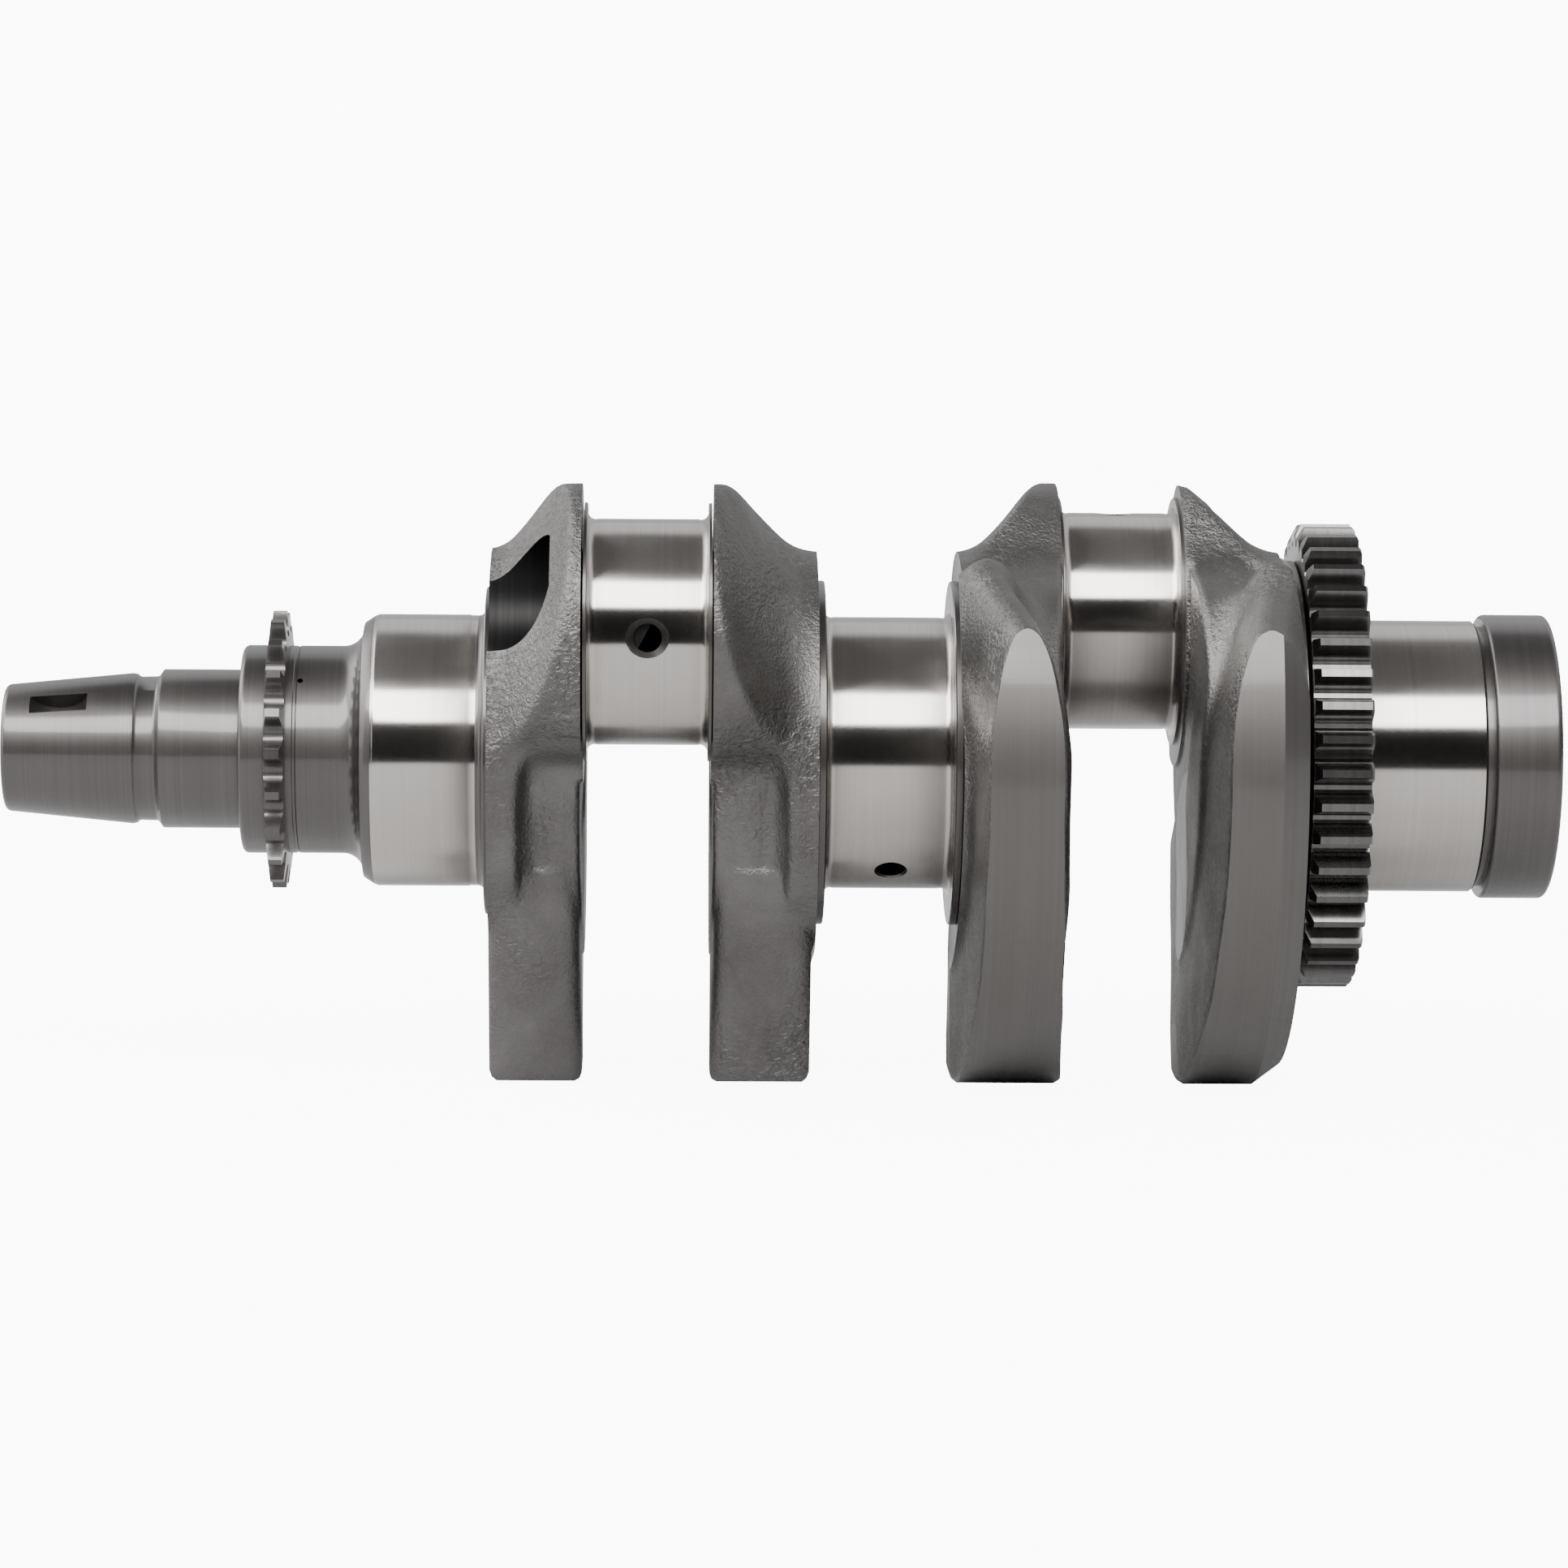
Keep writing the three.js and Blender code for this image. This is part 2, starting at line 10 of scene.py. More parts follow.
import bmesh
import bpy
import numpy as np
import openvdb
from mathutils import Euler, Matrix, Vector


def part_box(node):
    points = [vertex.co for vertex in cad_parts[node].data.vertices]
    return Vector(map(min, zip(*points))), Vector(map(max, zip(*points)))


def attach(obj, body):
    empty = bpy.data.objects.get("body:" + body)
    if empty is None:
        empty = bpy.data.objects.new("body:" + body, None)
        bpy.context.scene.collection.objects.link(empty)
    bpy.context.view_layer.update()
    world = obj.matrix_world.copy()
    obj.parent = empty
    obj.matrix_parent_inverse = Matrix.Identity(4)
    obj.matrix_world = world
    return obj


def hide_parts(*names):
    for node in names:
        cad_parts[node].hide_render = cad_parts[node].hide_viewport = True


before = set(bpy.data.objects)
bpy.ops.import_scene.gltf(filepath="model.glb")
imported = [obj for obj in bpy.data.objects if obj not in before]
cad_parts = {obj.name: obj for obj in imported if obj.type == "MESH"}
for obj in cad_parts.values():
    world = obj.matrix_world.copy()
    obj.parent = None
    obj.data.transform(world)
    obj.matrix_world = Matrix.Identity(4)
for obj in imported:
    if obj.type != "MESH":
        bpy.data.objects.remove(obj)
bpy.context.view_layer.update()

MM = 0.001
ROUND = 256  # sides of a turned piece


# ------------------------------------------------------------------ the frame, in millimetres


def span(node):
    """Where a CAD node starts and ends along X."""
    low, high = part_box(node)
    return low[0] / MM, high[0] / MM


def node_radius(node):
    low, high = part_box(node)
    return (high[1] - low[1]) / 2 / MM


low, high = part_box("centre_main_journal")
AXIS_HEIGHT = (low[2] + high[2]) / 2 / MM
low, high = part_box("crankpin_1")
PIN_OFFSET = abs(low[1] + high[1]) / 2 / MM  # of each crankpin from the shaft axis, across and up

MAIN_RADIUS = node_radius("rear_main_journal")
PIN_COLLAR_RADIUS = node_radius("crankpin_1")
PIN_RADIUS = 23.1
RIM_RADIUS = AXIS_HEIGHT
PIN_COLLAR_WIDTH = 0.7
FIRST_PIN_ANGLE = 135
NECK_RADIUS = 21.7

# Where each web's face towards a main journal and its face towards its crankpin are, along X.
WEB_OUTER = {1: span("web_1_counterweight")[0], 2: span("web_2_cheek")[1],
             3: span("web_3_cheek")[0], 4: span("web_4_cheek")[1]}
WEB_INNER = {1: span("web_1_cheek")[1], 2: span("web_2_cheek")[0],
             3: span("web_3_cheek")[1], 4: span("web_4_cheek")[0]}
PIN_SIDE = {1: -1, 2: -1, 3: 1, 4: 1}  # the side of the shaft, in Y, that a web's crankpin is on
PIN_MIDDLE = {1: (WEB_INNER[1] + WEB_INNER[2]) / 2, 3: (WEB_INNER[3] + WEB_INNER[4]) / 2}


# ------------------------------------------------------------------ mesh tools


def make_piece(name, vertices, faces, material=None):
    """A mesh object from points in millimetres about the shaft axis."""
    points = np.asarray(vertices, float) * MM
    points[:, 2] += AXIS_HEIGHT * MM
    mesh = bpy.data.meshes.new(name)
    mesh.from_pydata(points.tolist(), [], faces)
    mesh.update()
    piece = bpy.data.objects.new(name, mesh)
    bpy.context.scene.collection.objects.link(piece)
    if material:
        mesh.materials.append(material)
    return piece


def arc(centre_x, centre_r, radius, start, end, steps=6):
    """Points of an arc in a turned profile, as (x, radius) pairs."""
    angles = [math.radians(start + (end - start) * k / steps) for k in range(steps + 1)]
    return [(centre_x + radius * math.cos(a), centre_r + radius * math.sin(a)) for a in angles]


def revolve(name, profile, material=None, sides=ROUND, centre=(0.0, 0.0)):
    """A closed solid turned about an axis parallel to X, from (x, radius) pairs."""
    turn = np.linspace(0, 2 * math.pi, sides, endpoint=False)
    rings = []
    for x, radius in profile:
        ring = np.empty((sides, 3))
        ring[:, 0] = x
        ring[:, 1] = centre[0] + radius * np.cos(turn)
        ring[:, 2] = centre[1] + radius * np.sin(turn)
        rings.append(ring)
    vertices = np.concatenate(rings)
    count = len(profile)
    faces = []
    for k in range(count - 1):
        for j in range(sides):
            n = (j + 1) % sides
            faces.append((k * sides + j, (k + 1) * sides + j, (k + 1) * sides + n, k * sides + n))
    faces.append(tuple(range(sides)))
    faces.append(tuple((count - 1) * sides + j for j in reversed(range(sides))))
    piece = make_piece(name, vertices, faces, material)
    outward(piece)
    return piece


def outward(piece):
    """Turns every face of a closed piece to look out."""
    bm = bmesh.new()
    bm.from_mesh(piece.data)
    bmesh.ops.recalc_face_normals(bm, faces=bm.faces)
    bm.to_mesh(piece.data)
    bm.free()


def prism(name, outline, x0, x1, material=None):
    """An outline across the shaft, as (y, z) pairs, drawn out from x0 to x1."""
    count = len(outline)
    vertices = [(x, y, z) for x in (x0, x1) for y, z in outline]
    faces = [tuple(range(count)), tuple(reversed(range(count, 2 * count)))]
    for j in range(count):
        n = (j + 1) % count
        faces.append((j, n, count + n, count + j))
    piece = make_piece(name, vertices, faces, material)
    outward(piece)
    return piece


def drill(name, start, end, radius, end_radius=None, sides=64):
    """A round tool from one point to another."""
    start, end = Vector(start), Vector(end)
    along = (end - start).normalized()
    side = along.orthogonal().normalized()
    other = along.cross(side)
    vertices = []
    for point, r in ((start, radius), (end, radius if end_radius is None else end_radius)):
        for k in range(sides):
            a = 2 * math.pi * k / sides
            vertices.append(point + side * (r * math.cos(a)) + other * (r * math.sin(a)))
    faces = [tuple(range(sides)), tuple(range(sides, 2 * sides))]
    faces += [(k, (k + 1) % sides, sides + (k + 1) % sides, sides + k) for k in range(sides)]
    piece = make_piece(name, vertices, faces)
    outward(piece)
    return piece


def apply_boolean(piece, tool, operation, material):
    """Cuts or trims a piece with a tool, which leaves its material behind and is thrown away."""
    tool.data.materials.clear()
    tool.data.materials.append(material)
    change = piece.modifiers.new("boolean", "BOOLEAN")
    change.operation = operation
    change.solver = "MANIFOLD"
    change.material_mode = "TRANSFER"
    change.object = tool
    bake(piece)
    bpy.data.objects.remove(tool)


def bake(piece):
    """Makes what a piece's modifiers give its own mesh."""
    graph = bpy.context.evaluated_depsgraph_get()
    result = bpy.data.meshes.new_from_object(piece.evaluated_get(graph))
    piece.modifiers.clear()
    old = piece.data
    piece.data = result
    name = old.name
    bpy.data.meshes.remove(old)
    piece.data.name = name


def cut(piece, tool, material):
    apply_boolean(piece, tool, "DIFFERENCE", material)


def keep_inside(piece, tool, material):
    apply_boolean(piece, tool, "INTERSECT", material)


def polish(piece, angle=32):
    """Smooth shading with crisp machined edges."""
    mesh = piece.data
    mesh.shade_smooth()
    mesh.set_sharp_from_angle(angle=math.radians(angle))


def face_centres(piece):
    """Centres of a piece's faces, about the shaft axis, in millimetres."""
    mesh = piece.data
    centres = np.empty(3 * len(mesh.polygons), np.float32)
    mesh.polygons.foreach_get("center", centres)
    centres = centres.reshape(-1, 3) / MM
    centres[:, 2] -= AXIS_HEIGHT
    return centres


def paint(piece, material, chosen):
    """Gives a material to the faces that `chosen`, a mask, picks."""
    mesh = piece.data
    slots = [m.name for m in mesh.materials]
    if material.name not in slots:
        mesh.materials.append(material)
        slots.append(material.name)
    index = np.empty(len(mesh.polygons), np.int32)
    mesh.polygons.foreach_get("material_index", index)
    index[chosen] = slots.index(material.name)
    mesh.polygons.foreach_set("material_index", index)


def polar(angle, radius):
    """Y and Z of a point at an angle about the shaft."""
    return radius * math.cos(math.radians(angle)), radius * math.sin(math.radians(angle))


def outwards(angle):
    """The direction straight out of the shaft at an angle."""
    return Vector((0, *polar(angle, 1)))


def finish_piece(piece, slot, *nodes):
    """Shades a piece, and says which body it rides and the CAD nodes it stands for. Its slot is not
    used.
    """
    polish(piece)
    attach(piece, "root")
    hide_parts(*nodes)


# ------------------------------------------------------------------ materials


class Nodes:
    """A material's node tree, with short ways to add and join nodes."""

    def __init__(self, name):
        self.material = bpy.data.materials.new(name)
        self.material.use_nodes = True
        self.tree = self.material.node_tree
        self.shader = self.tree.nodes["Principled BSDF"]
        self.coordinate = self.add("ShaderNodeTexCoord").outputs["Object"]

    def add(self, kind, **values):
        node = self.tree.nodes.new(kind)
        for key, value in values.items():
            setattr(node, key, value)
        return node

    def join(self, source, target):
        """Links a socket to another, or sets the second to a value or a colour."""
        if isinstance(source, bpy.types.NodeSocket):
            self.tree.links.new(source, target)
        elif isinstance(source, tuple):
            target.default_value = (*source, 1)
        else:
            target.default_value = source

    def noise(self, scale, detail=4.0, roughness=0.6, stretch=(1, 1, 1), distortion=0.0):
        """A noise over the piece's own metres, stretched along an axis if asked."""
        mapping = self.add("ShaderNodeMapping")
        mapping.inputs["Scale"].default_value = stretch
        self.join(self.coordinate, mapping.inputs["Vector"])
        noise = self.add("ShaderNodeTexNoise")
        noise.inputs["Scale"].default_value = scale
        noise.inputs["Detail"].default_value = detail
        noise.inputs["Roughness"].default_value = roughness
        noise.inputs["Distortion"].default_value = distortion
        self.join(mapping.outputs["Vector"], noise.inputs["Vector"])
        return noise.outputs["Fac"]

    def ramp(self, source, *stops):
        """A colour or grey ramp; each stop is (position, colour or grey)."""
        ramp = self.add("ShaderNodeValToRGB")
        elements = ramp.color_ramp.elements
        for k, (position, colour) in enumerate(stops):
            element = elements[k] if k < 2 else elements.new(position)
            element.position = position
            rgb = colour if isinstance(colour, tuple) else (colour,) * 3
            element.color = (*rgb, 1)
        self.join(source, ramp.inputs["Fac"])
        return ramp.outputs["Color"]

    def mix(self, factor, first, second):
        """A blend of two colours."""
        node = self.add("ShaderNodeMix", data_type="RGBA")
        for socket, value in ((0, factor), (6, first), (7, second)):  # its factor and its A and B
            self.join(value, node.inputs[socket])
        return node.outputs[2]

    def camera_ray(self):
        return self.add("ShaderNodeLightPath").outputs["Is Camera Ray"]

    def multiply(self, first, second):
        node = self.add("ShaderNodeMath", operation="MULTIPLY")
        self.join(first, node.inputs[0])
        self.join(second, node.inputs[1])
        return node.outputs[0]

    def remap(self, source, low, high, from_low=0.0, from_high=1.0):
        """Stretches a range of values to low...high, and holds it there beyond its ends."""
        node = self.add("ShaderNodeMapRange")
        node.inputs["From Min"].default_value = from_low
        node.inputs["From Max"].default_value = from_high
        node.inputs["To Min"].default_value = low
        node.inputs["To Max"].default_value = high
        self.join(source, node.inputs["Value"])
        return node.outputs["Result"]

    def bump(self, height, distance, strength=1.0, under=None):
        node = self.add("ShaderNodeBump")
        node.inputs["Distance"].default_value = distance
        self.join(strength, node.inputs["Strength"])
        self.join(height, node.inputs["Height"])
        if under is not None:
            self.join(under, node.inputs["Normal"])
        return node.outputs["Normal"]

    def set(self, **values):
        """Sets the shader's inputs by name, with _ for a space, and returns the material."""
        for key, value in values.items():
            self.join(value, self.shader.inputs[key.replace("_", " ")])
        return self.material


def forged_steel():
    """Shot-blasted forging skin: dark, warm grey, pitted and softly mottled."""
    n = Nodes("forged_steel")
    mottle = n.noise(38, 5, 0.62, distortion=0.6)
    colour = n.ramp(mottle, (0.30, (0.122, 0.116, 0.112)), (0.52, (0.168, 0.160, 0.155)),
                    (0.72, (0.215, 0.207, 0.203)))
    grain = n.noise(1500, 2, 0.6)
    colour = n.mix(n.remap(grain, 0.0, 0.30, 0.35, 0.7), colour, (0.20, 0.195, 0.19))
    peel = n.noise(620, 3, 0.62, distortion=1.1)
    pits = n.noise(1700, 2, 0.5)
    patch = n.noise(30, 2, 0.5)
    coarse = n.bump(peel, 0.0011, n.remap(patch, 0.15, 0.95, 0.40, 0.66))
    normal = n.bump(pits, 0.0003, 0.5, coarse)
    rough = n.remap(n.noise(160, 3, 0.5), 0.36, 0.52)
    return n.set(Base_Color=colour, Metallic=1.0, Roughness=rough, Normal=normal)


def lined_steel(name, dark, bright, roughness, depth, line_scale=1400, coat=0.0, coat_roughness=0.1,
                brushed=0.0):
    """Turned or ground steel, with fine lines round the shaft, `depth` metres deep. Where it is
    brushed, the lines smear what it mirrors along the shaft."""
    n = Nodes(name)
    lines = n.noise(line_scale, 3, 0.75, stretch=(1, 0.004, 0.004))
    broad = n.noise(190, 2, 0.5, stretch=(1, 0.03, 0.03))
    cloud = n.noise(45, 3, 0.6)
    colour = n.mix(n.remap(lines, 0.15, 0.85, 0.3, 0.7), dark, bright)
    colour = n.mix(n.remap(broad, 0.0, 0.35, 0.4, 0.7), colour, dark)
    rough = n.mix(cloud, (roughness * 0.82,) * 3, (roughness * 1.18,) * 3)
    normal = n.bump(lines, depth, 0.6)
    n.set(Base_Color=colour, Metallic=1.0, Roughness=rough, Normal=normal)
    n.set(Coat_Weight=coat, Coat_Roughness=coat_roughness, Coat_IOR=1.6)
    if brushed:
        round_shaft = n.add("ShaderNodeTangent", direction_type="RADIAL", axis="X")
        quarter_turn = 0.25
        n.set(Anisotropic=brushed, Anisotropic_Rotation=quarter_turn)
        n.set(Tangent=round_shaft.outputs["Tangent"])
    return n.material


FORGED = forged_steel()
GROUND = lined_steel("ground_steel", (0.55, 0.515, 0.485), (0.65, 0.615, 0.59), 0.22, 0.0000012,
                     brushed=1.0)
TURNED = lined_steel("turned_steel", (0.098, 0.090, 0.087), (0.125, 0.116, 0.112), 0.42, 0.000006,
                     coat=0.75, coat_roughness=0.12)
RIM = lined_steel("machined_rim", (0.138, 0.129, 0.124), (0.160, 0.151, 0.146), 0.50, 0.000005,
                  line_scale=900, coat=0.35, coat_roughness=0.12)
GEAR_STEEL = lined_steel("gear_steel", (0.115, 0.111, 0.108), (0.185, 0.180, 0.175), 0.26, 0.000004,
                         coat=0.3)
# Insides of drilled holes: steel painted near-black, a painted shade for the dark deep inside the
# holes.
HOLE_PAINTED_SHADE = lined_steel("hole_painted_shade", (0.022, 0.021, 0.021), (0.04, 0.039, 0.038), 0.5, 0.00001)


# ------------------------------------------------------------------ oil drillings

OIL_RADIUS = 2.9
PIN_MOUTH_RADIUS = 4.4
MAIN_MOUTH_RADIUS = 3.4
OIL_CLEARANCE = 3.0  # how far the tools start outside a journal
OIL_KNEE = 3.2  # how deep a pin's hole goes before it slants towards the centre journal
OIL_CROSS = Vector((23.5, 0, 0))  # where the drillings meet

# For each journal with an oil hole: its middle at the hole, the hole's way out, and its radius.
OIL_HOLES = {
    "crankpin_1": (Vector((PIN_MIDDLE[1], -PIN_OFFSET, PIN_OFFSET)), outwards(180), PIN_RADIUS),
    "crankpin_2": (Vector((PIN_MIDDLE[3], PIN_OFFSET, PIN_OFFSET)), outwards(90), PIN_RADIUS),
    "centre_main_journal": (OIL_CROSS, outwards(235), MAIN_RADIUS),
}


def drill_oil_hole(piece, node):
    """The countersunk mouth, and the drilling behind it, which slants in a pin."""
    centre, way_out, radius = OIL_HOLES[node]
    mouth = centre + way_out * radius
    outside = mouth + way_out * OIL_CLEARANCE
    is_pin = node != "centre_main_journal"
    mouth_radius = PIN_MOUTH_RADIUS if is_pin else MAIN_MOUTH_RADIUS
    cone_end = mouth - way_out * (mouth_radius - OIL_RADIUS)
    cut(piece, drill("mouth", outside, cone_end, mouth_radius + OIL_CLEARANCE, OIL_RADIUS), TURNED)
    # The drillings behind the mouth get the near-black painted shade of the holes.
    if is_pin:
        knee = mouth - way_out * OIL_KNEE
        overlap = (knee - OIL_CROSS).normalized() * 0.5
        cut(piece, drill("bore", outside, knee, OIL_RADIUS), HOLE_PAINTED_SHADE)
        cut(piece, drill("oilway", knee + overlap, OIL_CROSS, OIL_RADIUS), HOLE_PAINTED_SHADE)
    else:
        cut(piece, drill("bore", outside, OIL_CROSS, OIL_RADIUS), HOLE_PAINTED_SHADE)


# ------------------------------------------------------------------ nose and front end


NOSE = {"end_radius": 13.1, "slope": 0.1, "edge": 1.3, "bolt_radius": 5.1, "bolt_depth": 24}
KEYSEAT = {"x": -149.3, "radius": 6.5, "depth": 4.0, "width": 4.5}  # cut by a disc-shaped cutter


def nose_taper():
    x0, x1 = span("nose_taper")
    end_radius, edge, bolt = NOSE["end_radius"], NOSE["edge"], NOSE["bolt_radius"]

    def radius_at(x):
        return end_radius + (x - x0) * NOSE["slope"]

    piece = revolve("nose_taper_turned", [
        (x0, 0.01),
        (x0, end_radius - edge + 0.1),
        *arc(x0 + edge, end_radius - edge + 0.2, edge, 180, 96, 5),
        (x1 - 1.0, radius_at(x1 - 1.0)),
        (x1, radius_at(x1) - 0.3),
    ], TURNED)
    # The bolt bore gets the near-black painted shade of the holes.
    cut(piece, drill("bore", (x0 - 1, 0, 0), (x0 + NOSE["bolt_depth"], 0, 0), bolt), HOLE_PAINTED_SHADE)
    cut(piece, drill("sink", (x0 - 1, 0, 0), (x0 + 2, 0, 0), bolt + 2.9, bolt), TURNED)

    height = radius_at(KEYSEAT["x"]) + KEYSEAT["radius"] - KEYSEAT["depth"]
    centre = Vector((KEYSEAT["x"], 0, 0)) + outwards(FIRST_PIN_ANGLE) * height
    half = outwards(FIRST_PIN_ANGLE - 90) * (KEYSEAT["width"] / 2)
    cut(piece, drill("keyseat", centre - half, centre + half, KEYSEAT["radius"], sides=96), TURNED)
    finish_piece(piece, "turned_steel", "nose_taper")


def nose_seal_journal():
    """The journal that a seal runs on, behind a shallow groove."""
    x0, x1 = span("nose_seal_journal")
    radius = 16.6
    groove = radius - 1.6
    piece = revolve("nose_seal_journal_turned", [
        (x0, groove + 0.35),
        *arc(x0 + 1.0, groove + 1.4, 1.4, 225, 270, 4),
        (x0 + 4.0, groove + 0.1),
        *arc(x0 + 4.0, groove + 0.9, 0.8, 270, 330, 4),
        (x0 + 5.4, radius - 0.1),
        (x0 + 5.7, radius),
        (x1, radius),
    ], TURNED)
    finish_piece(piece, "turned_steel", "nose_seal_journal")


def sprocket_shoulder():
    x0, x1 = span("sprocket_shoulder")
    radius = NECK_RADIUS + 0.05
    edge = 1.25
    piece = revolve("sprocket_shoulder_turned", [
        (x0, radius - 3.55),
        (x0 + 0.35, radius - edge),
        *arc(x0 + edge + 0.3, radius - edge, edge, 170, 90, 5),
        (x1, radius),
    ], TURNED)
    finish_piece(piece, "turned_steel", "sprocket_shoulder")


SPROCKET = {"teeth": 21, "pitch": 8.0, "roller": 2.55, "tip": 29.0, "tip_width": 2.8}


def bowed(start, end):
    """Points between two others on a tooth's flank, bowed outwards from the shaft."""
    bow = 0.012
    return [(start * (1 - t) + end * t) * (1 + bow * math.sin(math.pi * t)) for t in (0.25, 0.5, 0.75)]


def sprocket_outline():
    """Roller-chain teeth: round seats, with convex flanks up to narrow tips."""
    step = 360 / SPROCKET["teeth"]
    pitch_radius = SPROCKET["pitch"] / 2 / math.sin(math.radians(step / 2))
    half_gap = 0.40 * step
    turns = range(66, -67, -11)
    outline = []
    for k in range(SPROCKET["teeth"]):
        valley = FIRST_PIN_ANGLE + k * step
        base = np.array(polar(valley, pitch_radius))
        seat = [base + polar(valley + 180 + turn, SPROCKET["roller"]) for turn in turns]
        left = np.array(polar(valley - half_gap, SPROCKET["tip"]))
        right = np.array(polar(valley + half_gap, SPROCKET["tip"]))
        outline += [left, *bowed(left, seat[0]), *seat, *bowed(seat[-1], right), right]
    return outline


def timing_sprocket():
    x0, x1 = span("timing_sprocket")
    middle, half_tip = (x0 + x1) / 2, SPROCKET["tip_width"] / 2
    root, shoulder, over_tips = 23.6, 25.0, SPROCKET["tip"] + 0.2
    piece = prism("timing_sprocket_cut", sprocket_outline(), x0, x1, TURNED)
    sides = [(x0, root), (x0 + 0.3, shoulder), (middle - half_tip, over_tips),
             (middle + half_tip, over_tips), (x1 - 0.3, shoulder), (x1, root)]
    keep_inside(piece, revolve("sides", sides), TURNED)
    finish_piece(piece, "gear_steel", "timing_sprocket")


def front_neck():
    """The neck behind the sprocket, with a shallow groove and a small hole that oils the chain."""
    x0, x1 = span("front_neck")
    groove, fillet = NECK_RADIUS - 0.15, 4.4
    piece = revolve("front_neck_turned", [
        (x0, NECK_RADIUS),
        (x0 + 1.3, NECK_RADIUS),
        (x0 + 1.5, groove),
        (x0 + 2.0, groove),
        (x0 + 2.2, NECK_RADIUS),
        (x1 - fillet, NECK_RADIUS),
        *arc(x1 - fillet, NECK_RADIUS + fillet, fillet, 270, 350, 8),
    ], TURNED)
    oiler = Vector((-98.7, 0, 0))
    way_out = outwards(FIRST_PIN_ANGLE)
    # The oiler's hole gets the near-black painted shade of the holes.
    cut(piece, drill("oiler", oiler + way_out * 23, oiler + way_out * 14, 0.6, sides=24), HOLE_PAINTED_SHADE)
    finish_piece(piece, "turned_steel", "front_neck")


# ------------------------------------------------------------------ journals


FILLET = 1.6


def fillet_up_to(x, radius, face_side):
    """The rolled fillet between a journal and a face at x, from left to right: face_side is -1
    for a face on the journal's left and 1 for one on its right."""
    start, end = (182, 270) if face_side < 0 else (270, 358)
    return arc(x - face_side * (FILLET + 0.02), radius + FILLET - 0.1, FILLET, start, end, 8)


def front_main_journal():
    x0, x1 = span("front_main_journal")
    shoulder = 26.4
    piece = revolve("front_main_journal_ground", [
        (x0, shoulder - 0.8),
        (x0 + 0.02, shoulder),
        *arc(x0 + 0.5, shoulder, 0.5, 180, 120, 3),
        (x0 + 2.3, MAIN_RADIUS - 0.25),
        *arc(x0 + 3.2, MAIN_RADIUS - 0.9, 0.9, 130, 90, 4),
        (x1 - 3.4, MAIN_RADIUS),
        (x1 - 3.2, MAIN_RADIUS - 0.12),
        *arc(x1 - FILLET - 0.1, MAIN_RADIUS + FILLET - 0.15, FILLET, 262, 358, 8),
    ], GROUND)
    centres = face_centres(piece)
    paint(piece, TURNED, (centres[:, 0] < x0 + 2.4) | (centres[:, 0] > x1 - FILLET))
    finish_piece(piece, "ground_steel", "front_main_journal")


def centre_main_journal():
    x0, x1 = span("centre_main_journal")
    piece = revolve("centre_main_journal_ground", [
        *fillet_up_to(x0, MAIN_RADIUS, -1),
        (x0 + 2.0, MAIN_RADIUS),
        (x1 - 2.0, MAIN_RADIUS),
        *fillet_up_to(x1, MAIN_RADIUS, 1),
    ], GROUND)
    drill_oil_hole(piece, "centre_main_journal")
    finish_piece(piece, "ground_steel", "centre_main_journal")


def rear_main_journal():
    """The rear journal, relieved by a groove beside the flange."""
    x0, x1 = span("rear_main_journal")
    groove, depth = x1 - 1.5, 1.2
    piece = revolve("rear_main_journal_ground", [
        (x0, MAIN_RADIUS),
        (groove - 0.5, MAIN_RADIUS),
        (groove, MAIN_RADIUS - depth / 3),
        (groove + 0.1, MAIN_RADIUS - depth),
        (x1, MAIN_RADIUS - depth),
    ], GROUND)
    centres = face_centres(piece)
    paint(piece, TURNED, centres[:, 0] > groove - 0.45)
    finish_piece(piece, "ground_steel", "rear_main_journal")


def crankpin(number, web):
    """A crankpin with its thrust collars; `web` is the web on its left."""
    node = f"crankpin_{number}"
    x0, x1 = span(node)
    left, right = x0 + PIN_COLLAR_WIDTH, x1 - PIN_COLLAR_WIDTH
    centre = (PIN_SIDE[web] * PIN_OFFSET, PIN_OFFSET)
    edge = 0.12
    piece = revolve(f"{node}_ground", [
        (x0, PIN_COLLAR_RADIUS),
        (left - edge, PIN_COLLAR_RADIUS),
        (left, PIN_COLLAR_RADIUS - edge),
        *fillet_up_to(left, PIN_RADIUS, -1),
        (left + 2.0, PIN_RADIUS),
        (right - 2.0, PIN_RADIUS),
        *fillet_up_to(right, PIN_RADIUS, 1),
        (right, PIN_COLLAR_RADIUS - edge),
        (right + edge, PIN_COLLAR_RADIUS),
        (x1, PIN_COLLAR_RADIUS),
    ], GROUND, centre=centre)
    drill_oil_hole(piece, node)
    centres = face_centres(piece)
    radius = np.hypot(centres[:, 1] - centre[0], centres[:, 2] - centre[1])
    paint(piece, TURNED, radius > PIN_RADIUS + 1.3)
    finish_piece(piece, "ground_steel", node)


def thrust_collar(node):
    x0, x1 = span(node)
    edge = 0.25
    radius = node_radius(node)
    piece = revolve(f"{node}_turned", [
        (x0, radius - edge), (x0 + edge, radius), (x1 - edge, radius), (x1, radius - edge),
    ], TURNED)
    finish_piece(piece, "turned_steel", node)


# ------------------------------------------------------------------ webs


def smooth_max(a, b, k):
    """The larger of two fields, rounded where they meet."""
    h = np.maximum(k - np.abs(a - b), 0) / k
    return np.maximum(a, b) + h * h * k * 0.25


def smooth_min(a, b, k):
    return -smooth_max(-a, -b, k)


def bell(value, centre, width):
    """1 at the centre, dying away on both sides."""
    return np.exp(-((value - centre) / width) ** 2)


def fade(value, start, end):
    """From 0 at start to 1 at end, smoothly."""
    t = np.clip((value - start) / (end - start), 0, 1)
    return t * t * (3 - 2 * t)


